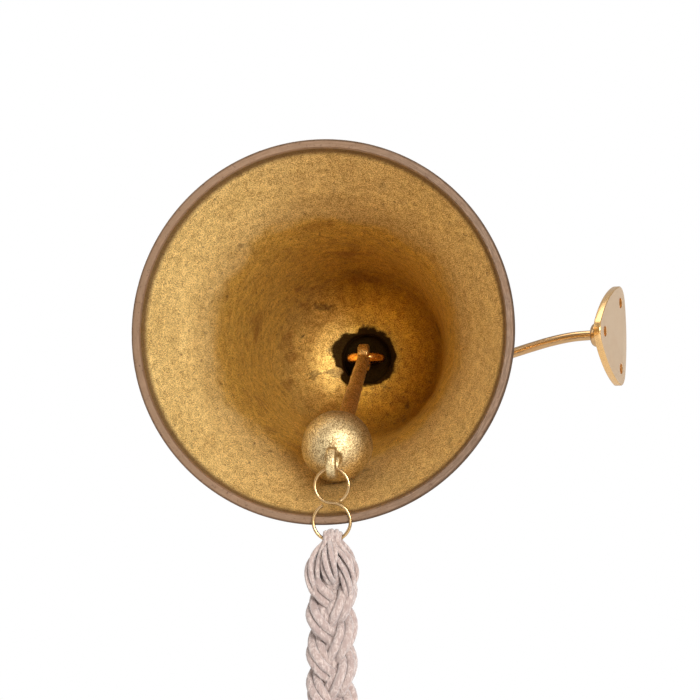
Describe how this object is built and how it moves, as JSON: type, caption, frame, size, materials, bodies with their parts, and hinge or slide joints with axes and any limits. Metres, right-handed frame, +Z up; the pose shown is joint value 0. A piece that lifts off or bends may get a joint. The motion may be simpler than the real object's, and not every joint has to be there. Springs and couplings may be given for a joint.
{
  "type": "wall mounted ship bell",
  "caption": "Brass ship bell on a swan neck wall bracket, held mouth forward on its clamped pivot, with a swinging clapper, S hook and cotton rope lanyard.",
  "frame": {"origin": "middle of the wall plate's back face, on the wall", "axes": "+X into the wall, square to the plate's back face; +Z up; -Y out of the bell's mouth, which is turned 15 degrees towards the wall"},
  "size_m": [0.1474, 0.1958, 0.3436],
  "materials": {
    "wall_plate": "sanded brass, fine straight grain",
    "arm_boss": "polished turned brass",
    "arm_collar": "polished turned brass",
    "bracket_arm": "polished drawn brass rod",
    "tip_collar": "polished turned brass",
    "tip_nut": "polished brass",
    "swivel_yoke": "polished cast brass",
    "pivot_bolt": "polished brass",
    "head_washer": "polished brass",
    "nut_washer": "polished brass",
    "pivot_nut": "polished brass",
    "bell_shell": "cast brass, turned pinkish lip, sand grained flare and scraped, brown stained bore",
    "crown_washer": "polished brass",
    "hanger_lug": "polished brass",
    "crown_eye": "coppery polished brass",
    "clapper": "cast brass, satin",
    "s_hook": "bright brass wire",
    "lanyard_bight": "plaited cotton cord",
    "lanyard_rope": "chunky plaited cotton",
    "lanyard_knot": "plaited cotton knot",
    "lanyard_tail": "loose cotton strands"
  },
  "bodies": {
    "bracket": {"wall_plate": "wall_plate", "arm_boss": "arm_boss", "arm_collar": "arm_collar", "bracket_arm": "bracket_arm", "tip_collar": "tip_collar", "tip_nut": "tip_nut"},
    "yoke": {"swivel_yoke": "swivel_yoke", "pivot_bolt": "pivot_bolt", "head_washer": "head_washer", "nut_washer": "nut_washer", "pivot_nut": "pivot_nut"},
    "bell": {"bell_shell": "bell_shell", "crown_washer": "crown_washer", "hanger_lug": "hanger_lug", "crown_eye": "crown_eye"},
    "clapper": {"clapper": "clapper"},
    "hook": {"s_hook": "s_hook"},
    "lanyard": {"lanyard_bight": "lanyard_bight", "lanyard_rope": "lanyard_rope", "lanyard_knot": "lanyard_knot", "lanyard_tail": "lanyard_tail"}
  },
  "joints": [
    {"name": "yoke_swivel", "type": "hinge", "parent": "bracket", "child": "yoke", "pos_m": [-0.116, 0, 0], "axis": [0, 0, 1], "range_deg": [-210, 0]},
    {"name": "bell_swing", "type": "hinge", "parent": "yoke", "child": "bell", "pos_m": [-0.116, 0, -0.009], "axis": [0.9659, 0.2588, 0], "range_deg": [0, 180]},
    {"name": "clapper_swing", "type": "hinge", "parent": "bell", "child": "clapper", "pos_m": [-0.10787, -0.03033, -0.009], "axis": [0.9659, 0.2588, 0], "range_deg": [-42, 0]},
    {"name": "hook_swing", "type": "hinge", "parent": "clapper", "child": "hook", "pos_m": [-0.069, -0.15806, -0.06227], "axis": [0.9659, 0.2588, 0], "range_deg": [-110, 0]},
    {"name": "lanyard_swing", "type": "hinge", "parent": "hook", "child": "lanyard", "pos_m": [-0.069, -0.15806, -0.08987], "axis": [0.9659, 0.2588, 0], "range_deg": [-45, 6]}
  ]
}
